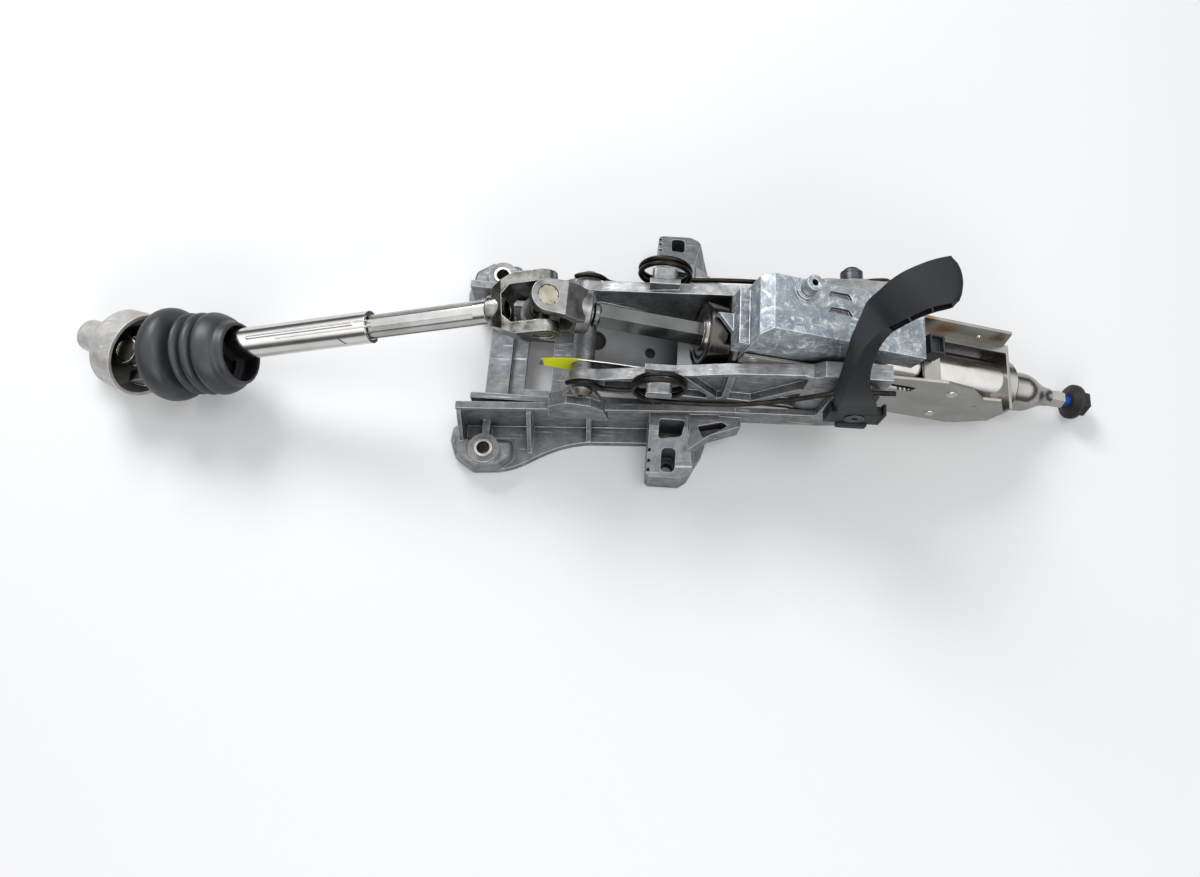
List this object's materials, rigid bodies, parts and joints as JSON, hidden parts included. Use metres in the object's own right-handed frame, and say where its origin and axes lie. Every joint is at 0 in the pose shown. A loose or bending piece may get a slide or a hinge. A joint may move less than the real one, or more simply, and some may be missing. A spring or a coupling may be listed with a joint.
{
  "type": "steering column",
  "caption": "Tilting, telescoping steering column with clamp lever, lock housing, jointed lower shaft, rubber boot and pinion cup.",
  "frame": {"origin": "middle of the two front mounting holes, on the mounting face", "axes": "+X towards the steering wheel, +Y across the vehicle with the clamp lever on the -Y side, +Z away from the mounting face, so the column lies bracket down as on a bench"},
  "size_m": [0.886, 0.2282, 0.2181],
  "materials": {
    "bracket_casting": "worn as-cast, dull grey with lighter edges",
    "lock_casting": "die-cast, light bluish grey",
    "cup_casting": "pale as-cast with brown stains",
    "sheet_steel": "bare pressed steel with heat tint",
    "tube_steel": "drawn, bright",
    "turned_steel": "turned, satin",
    "forged_light": "forged, warm grey",
    "forged_dark": "forged and shot-blasted",
    "race_steel": "ground",
    "spring_wire": "dark brown-black oiled wire",
    "dark_fastener": "black oxide",
    "rubber": "matt black rubber",
    "lever_plastic": "moulded, dark slate grey"
  },
  "bodies": {
    "base": {"main_bracket": "bracket_casting", "mount_sleeves": "turned_steel", "pivot_screws": "dark_fastener"},
    "tilt": {"tilt_bracket": "bracket_casting", "pivot_bushes": "turned_steel", "floor_plate": "sheet_steel", "crash_strip": "sheet_steel", "near_spring": "spring_wire", "far_spring": "spring_wire", "fixed_cam": "turned_steel", "clamp_spacer": "turned_steel"},
    "jacket": {"jacket_tube": "tube_steel", "bearing_housing": "turned_steel", "end_plate": "sheet_steel", "lower_bearing_outer": "race_steel", "lower_bearing_balls": "race_steel", "lower_bearing_seal": "rubber", "jacket_bracket": "sheet_steel", "jacket_rivets": "sheet_steel", "collar": "turned_steel", "upper_bearing_outer": "race_steel", "upper_bearing_balls": "race_steel", "lock_housing": "lock_casting", "lock_spring": "spring_wire"},
    "spindle": {"spindle": "turned_steel", "lock_ring": "turned_steel", "lower_bearing_inner": "race_steel", "upper_bearing_inner": "race_steel", "wheel_bolt": "dark_fastener", "bolt_disc": "dark_fastener"},
    "lock_bolt": {"lock_bolt": "turned_steel"},
    "sliding_shaft": {"slider_shaft": "tube_steel", "column_yoke": "forged_dark", "column_yoke_caps": "race_steel"},
    "upper_cross": {"upper_cross": "race_steel"},
    "fork": {"fork": "forged_light", "fork_caps": "race_steel", "inner_shaft": "tube_steel"},
    "lower_tube": {"outer_tube": "tube_steel", "tube_yoke": "forged_light", "tube_yoke_caps": "race_steel", "boot": "rubber"},
    "lower_cross": {"lower_cross": "race_steel"},
    "cup": {"pinion_cup": "cup_casting", "cup_yoke": "forged_light", "cup_yoke_caps": "race_steel", "pinch_bolt": "dark_fastener", "pinch_nut": "dark_fastener"},
    "clamp": {"clamp_bolt": "turned_steel", "clamp_nut": "dark_fastener"},
    "lever": {"clamp_lever": "lever_plastic", "moving_cam": "turned_steel"}
  },
  "joints": [
    {"name": "tilt", "type": "hinge", "parent": "base", "child": "tilt", "pos_m": [0.082, 0, 0.093], "axis": [0, 1, 0], "range_deg": [-3, 3]},
    {"name": "reach", "type": "slide", "parent": "tilt", "child": "jacket", "axis": [0.9648, 0, -0.263], "range_m": [-0.02, 0.02]},
    {"name": "spindle_spin", "type": "hinge", "parent": "jacket", "child": "spindle", "pos_m": [0.05, 0, 0.1403], "axis": [0.9648, 0, -0.263], "continuous": true},
    {"name": "lock_travel", "type": "slide", "parent": "jacket", "child": "lock_bolt", "axis": [-0.263, 0, -0.9648], "range_m": [0, 0.0025], "deforming": ["lock_spring"]},
    {"name": "shaft_slide", "type": "slide", "parent": "spindle", "child": "sliding_shaft", "axis": [0.9648, 0, -0.263], "range_m": [-0.02, 0.02]},
    {"name": "upper_cross_swing", "type": "hinge", "parent": "sliding_shaft", "child": "upper_cross", "pos_m": [0.05, 0, 0.1403], "axis": [0.2616, -0.1045, 0.9595], "range_deg": [-15, 15]},
    {"name": "fork_swing", "type": "hinge", "parent": "upper_cross", "child": "fork", "pos_m": [0.05, 0, 0.1403], "axis": [0.1093, -0.9845, -0.1371], "range_deg": [-55, 3]},
    {"name": "lower_shaft_slide", "type": "slide", "parent": "fork", "child": "lower_tube", "axis": [-0.96, -0.0688, -0.2714], "range_m": [-0.03, 0.03]},
    {"name": "lower_cross_swing", "type": "hinge", "parent": "lower_tube", "child": "lower_cross", "pos_m": [-0.2956, -0.02477, 0.04258], "axis": [0.1093, -0.9845, -0.1371], "range_deg": [-12, 12]},
    {"name": "cup_swing", "type": "hinge", "parent": "lower_cross", "child": "cup", "pos_m": [-0.2956, -0.02477, 0.04258], "axis": [0.2911, 0.1636, -0.9426], "range_deg": [-23, 2]},
    {"name": "lever_swing", "type": "hinge", "parent": "clamp", "child": "lever", "pos_m": [0.29457, 0, 0.10213], "axis": [0, 1, 0], "range_deg": [0, 50]},
    {"name": "clamp_release", "type": "slide", "parent": "tilt", "child": "clamp", "axis": [0, 1, 0], "range_m": [0, 0.00101]}
  ],
  "couplings": [
    {"joint": "shaft_slide", "follows": "reach", "ratio": -1},
    {"joint": "clamp_release", "follows": "lever_swing", "m_per_rad": 0.0011459}
  ]
}
